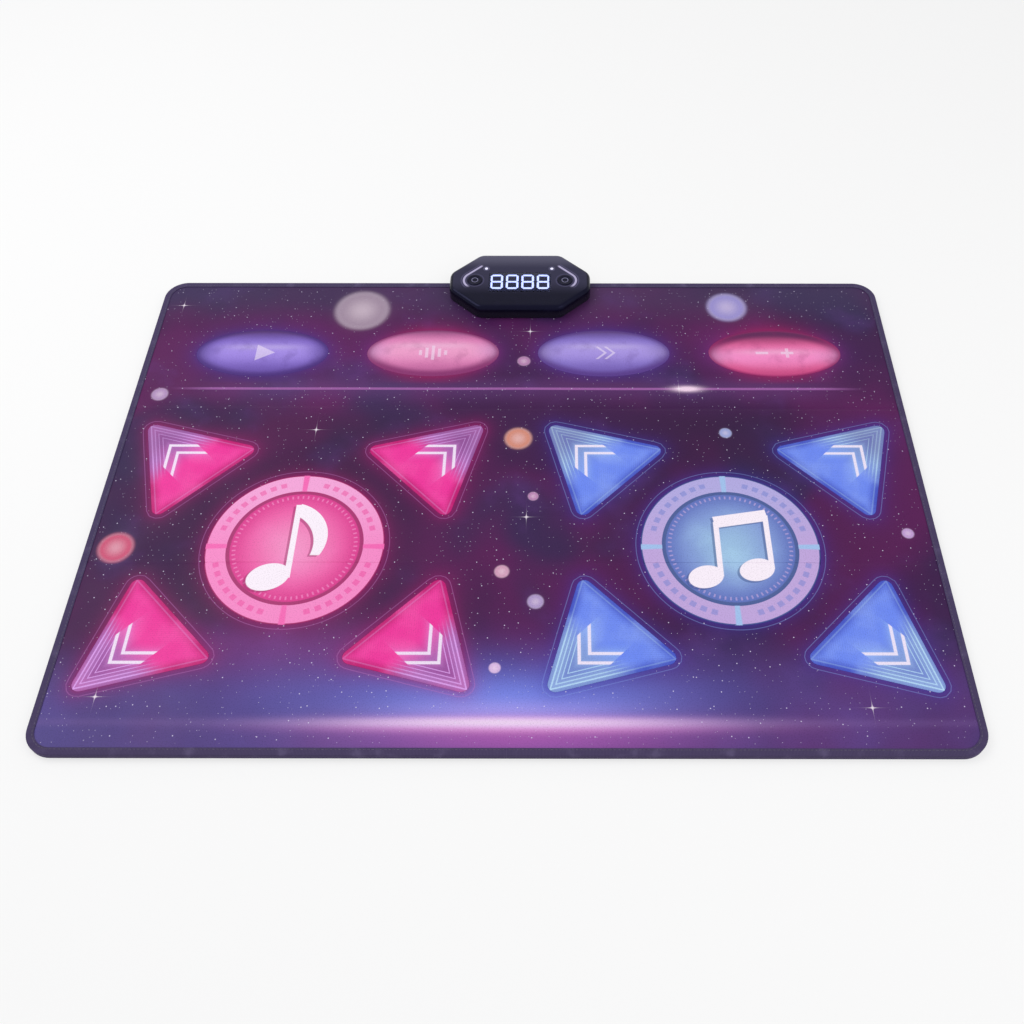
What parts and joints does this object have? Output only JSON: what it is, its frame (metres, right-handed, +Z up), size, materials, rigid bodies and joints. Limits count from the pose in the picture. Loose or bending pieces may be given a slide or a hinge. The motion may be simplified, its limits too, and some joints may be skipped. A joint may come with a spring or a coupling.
{
  "type": "electronic dance mat",
  "caption": "Foldable two-player floor mat of layered sheets with press-down step pads, contact films and a battery control box with display on its back edge.",
  "frame": {"origin": "on the floor, under the middle of the mat and its control box together", "axes": "+X to the players' right along the mat's long side, +Y away from the players to the edge with the control box, +Z up"},
  "size_m": [1.3, 0.972, 0.0372],
  "materials": {
    "printed_vinyl": "satin vinyl printed with a dark violet star field",
    "pink_print": "satin vinyl, pink print",
    "blue_print": "satin vinyl, blue print",
    "lilac_print": "satin vinyl, lilac print",
    "rose_print": "satin vinyl, rose print",
    "binding_tape": "woven black edge tape, sewn",
    "base_cloth": "black cloth with anti-slip dots",
    "grey_foam": "closed-cell foam",
    "clear_film": "polyester film with printed carbon tracks",
    "black_case": "moulded black, semi-gloss",
    "smoked_window": "smoked clear sheet, polished",
    "key_plastic": "moulded, semi-gloss",
    "board_green": "green solder mask",
    "display_black": "black display block with pale blue digits",
    "white_plastic": "moulded white",
    "bright_metal": "plated steel",
    "speaker_paper": "black paper cone",
    "cell_jacket": "printed steel jacket, unmarked"
  },
  "bodies": {
    "rear_panel": {"base_sheet_rear": "base_cloth", "base_foam_rear": "grey_foam", "lower_film_rear": "clear_film", "spacer_foam_rear": "grey_foam", "upper_film_rear": "clear_film", "top_sheet_rear": "printed_vinyl", "edge_binding_rear": "binding_tape", "box_top_shell": "black_case", "box_bottom_shell": "black_case", "display_window": "smoked_window", "display_module": "display_black", "circuit_board": "board_green", "speaker": "speaker_paper", "tail_clamp_bar": "white_plastic", "ribbon_cable": "clear_film", "contact_card_left": "bright_metal", "contact_card_right": "bright_metal", "aa_cell_1": "cell_jacket", "case_screw_1": "bright_metal", "aa_cell_2": "cell_jacket", "case_screw_2": "bright_metal", "aa_cell_3": "cell_jacket", "case_screw_3": "bright_metal", "aa_cell_4": "cell_jacket", "case_screw_4": "bright_metal"},
    "middle_panel": {"base_sheet_middle": "base_cloth", "base_foam_middle": "grey_foam", "lower_film_middle": "clear_film", "spacer_foam_middle": "grey_foam", "upper_film_middle": "clear_film", "top_sheet_middle": "printed_vinyl", "edge_binding_middle_left": "binding_tape", "edge_binding_middle_right": "binding_tape"},
    "front_panel": {"base_sheet_front": "base_cloth", "base_foam_front": "grey_foam", "lower_film_front": "clear_film", "spacer_foam_front": "grey_foam", "upper_film_front": "clear_film", "top_sheet_front": "printed_vinyl", "edge_binding_front": "binding_tape"},
    "left_arrow_pad_back_left": {"left_arrow_pad_back_left": "pink_print"},
    "left_arrow_pad_back_right": {"left_arrow_pad_back_right": "pink_print"},
    "left_arrow_pad_front_left": {"left_arrow_pad_front_left": "pink_print"},
    "left_arrow_pad_front_right": {"left_arrow_pad_front_right": "pink_print"},
    "left_round_pad_rear": {"left_round_pad_rear": "pink_print"},
    "left_round_pad_front": {"left_round_pad_front": "pink_print"},
    "right_arrow_pad_back_left": {"right_arrow_pad_back_left": "blue_print"},
    "right_arrow_pad_back_right": {"right_arrow_pad_back_right": "blue_print"},
    "right_arrow_pad_front_left": {"right_arrow_pad_front_left": "blue_print"},
    "right_arrow_pad_front_right": {"right_arrow_pad_front_right": "blue_print"},
    "right_round_pad_rear": {"right_round_pad_rear": "blue_print"},
    "right_round_pad_front": {"right_round_pad_front": "blue_print"},
    "menu_pad_1": {"menu_pad_1": "lilac_print"},
    "menu_pad_2": {"menu_pad_2": "rose_print"},
    "menu_pad_3": {"menu_pad_3": "lilac_print"},
    "menu_pad_4": {"menu_pad_4": "rose_print"},
    "left_key": {"left_key": "key_plastic"},
    "right_key": {"right_key": "key_plastic"},
    "power_knob": {"power_knob": "white_plastic"},
    "battery_door": {"battery_door": "black_case"}
  },
  "joints": [
    {"name": "middle_fold", "type": "hinge", "parent": "rear_panel", "child": "middle_panel", "pos_m": [0, 0.12699, -0.0005], "axis": [1, 0, 0], "range_deg": [0, 178]},
    {"name": "front_fold", "type": "hinge", "parent": "middle_panel", "child": "front_panel", "pos_m": [0, -0.17968, 0.0118], "axis": [-1, 0, 0], "range_deg": [0, 178]},
    {"name": "left_arrow_pad_back_left_press", "type": "slide", "parent": "middle_panel", "child": "left_arrow_pad_back_left", "axis": [0, 0, -1], "range_m": [0, 0.002], "stiffness_N_per_m": 4000, "springref_m": -0.001},
    {"name": "left_arrow_pad_back_right_press", "type": "slide", "parent": "middle_panel", "child": "left_arrow_pad_back_right", "axis": [0, 0, -1], "range_m": [0, 0.002], "stiffness_N_per_m": 4000, "springref_m": -0.001},
    {"name": "left_arrow_pad_front_left_press", "type": "slide", "parent": "front_panel", "child": "left_arrow_pad_front_left", "axis": [0, 0, -1], "range_m": [0, 0.002], "stiffness_N_per_m": 4000, "springref_m": -0.001},
    {"name": "left_arrow_pad_front_right_press", "type": "slide", "parent": "front_panel", "child": "left_arrow_pad_front_right", "axis": [0, 0, -1], "range_m": [0, 0.002], "stiffness_N_per_m": 4000, "springref_m": -0.001},
    {"name": "left_round_pad_rear_press", "type": "slide", "parent": "middle_panel", "child": "left_round_pad_rear", "axis": [0, 0, -1], "range_m": [0, 0.002], "stiffness_N_per_m": 4000, "springref_m": -0.001},
    {"name": "left_round_pad_front_press", "type": "slide", "parent": "front_panel", "child": "left_round_pad_front", "axis": [0, 0, -1], "range_m": [0, 0.002], "stiffness_N_per_m": 4000, "springref_m": -0.001},
    {"name": "right_arrow_pad_back_left_press", "type": "slide", "parent": "middle_panel", "child": "right_arrow_pad_back_left", "axis": [0, 0, -1], "range_m": [0, 0.002], "stiffness_N_per_m": 4000, "springref_m": -0.001},
    {"name": "right_arrow_pad_back_right_press", "type": "slide", "parent": "middle_panel", "child": "right_arrow_pad_back_right", "axis": [0, 0, -1], "range_m": [0, 0.002], "stiffness_N_per_m": 4000, "springref_m": -0.001},
    {"name": "right_arrow_pad_front_left_press", "type": "slide", "parent": "front_panel", "child": "right_arrow_pad_front_left", "axis": [0, 0, -1], "range_m": [0, 0.002], "stiffness_N_per_m": 4000, "springref_m": -0.001},
    {"name": "right_arrow_pad_front_right_press", "type": "slide", "parent": "front_panel", "child": "right_arrow_pad_front_right", "axis": [0, 0, -1], "range_m": [0, 0.002], "stiffness_N_per_m": 4000, "springref_m": -0.001},
    {"name": "right_round_pad_rear_press", "type": "slide", "parent": "middle_panel", "child": "right_round_pad_rear", "axis": [0, 0, -1], "range_m": [0, 0.002], "stiffness_N_per_m": 4000, "springref_m": -0.001},
    {"name": "right_round_pad_front_press", "type": "slide", "parent": "front_panel", "child": "right_round_pad_front", "axis": [0, 0, -1], "range_m": [0, 0.002], "stiffness_N_per_m": 4000, "springref_m": -0.001},
    {"name": "menu_pad_1_press", "type": "slide", "parent": "rear_panel", "child": "menu_pad_1", "axis": [0, 0, -1], "range_m": [0, 0.002], "stiffness_N_per_m": 4000, "springref_m": -0.001},
    {"name": "menu_pad_2_press", "type": "slide", "parent": "rear_panel", "child": "menu_pad_2", "axis": [0, 0, -1], "range_m": [0, 0.002], "stiffness_N_per_m": 4000, "springref_m": -0.001},
    {"name": "menu_pad_3_press", "type": "slide", "parent": "rear_panel", "child": "menu_pad_3", "axis": [0, 0, -1], "range_m": [0, 0.002], "stiffness_N_per_m": 4000, "springref_m": -0.001},
    {"name": "menu_pad_4_press", "type": "slide", "parent": "rear_panel", "child": "menu_pad_4", "axis": [0, 0, -1], "range_m": [0, 0.002], "stiffness_N_per_m": 4000, "springref_m": -0.001},
    {"name": "left_key_press", "type": "slide", "parent": "rear_panel", "child": "left_key", "axis": [0, 0, -1], "range_m": [0, 0.0008], "stiffness_N_per_m": 1500, "springref_m": -0.0005},
    {"name": "right_key_press", "type": "slide", "parent": "rear_panel", "child": "right_key", "axis": [0, 0, -1], "range_m": [0, 0.0008], "stiffness_N_per_m": 1500, "springref_m": -0.0005},
    {"name": "power_knob_slide", "type": "slide", "parent": "rear_panel", "child": "power_knob", "axis": [1, 0, 0], "range_m": [0, 0.004]},
    {"name": "battery_door_slide", "type": "slide", "parent": "rear_panel", "child": "battery_door", "axis": [0, 1, 0], "range_m": [0, 0.045]}
  ],
  "couplings": [
    {"joint": "left_round_pad_front_press", "follows": "left_round_pad_rear_press", "ratio": 1},
    {"joint": "right_round_pad_front_press", "follows": "right_round_pad_rear_press", "ratio": 1}
  ]
}
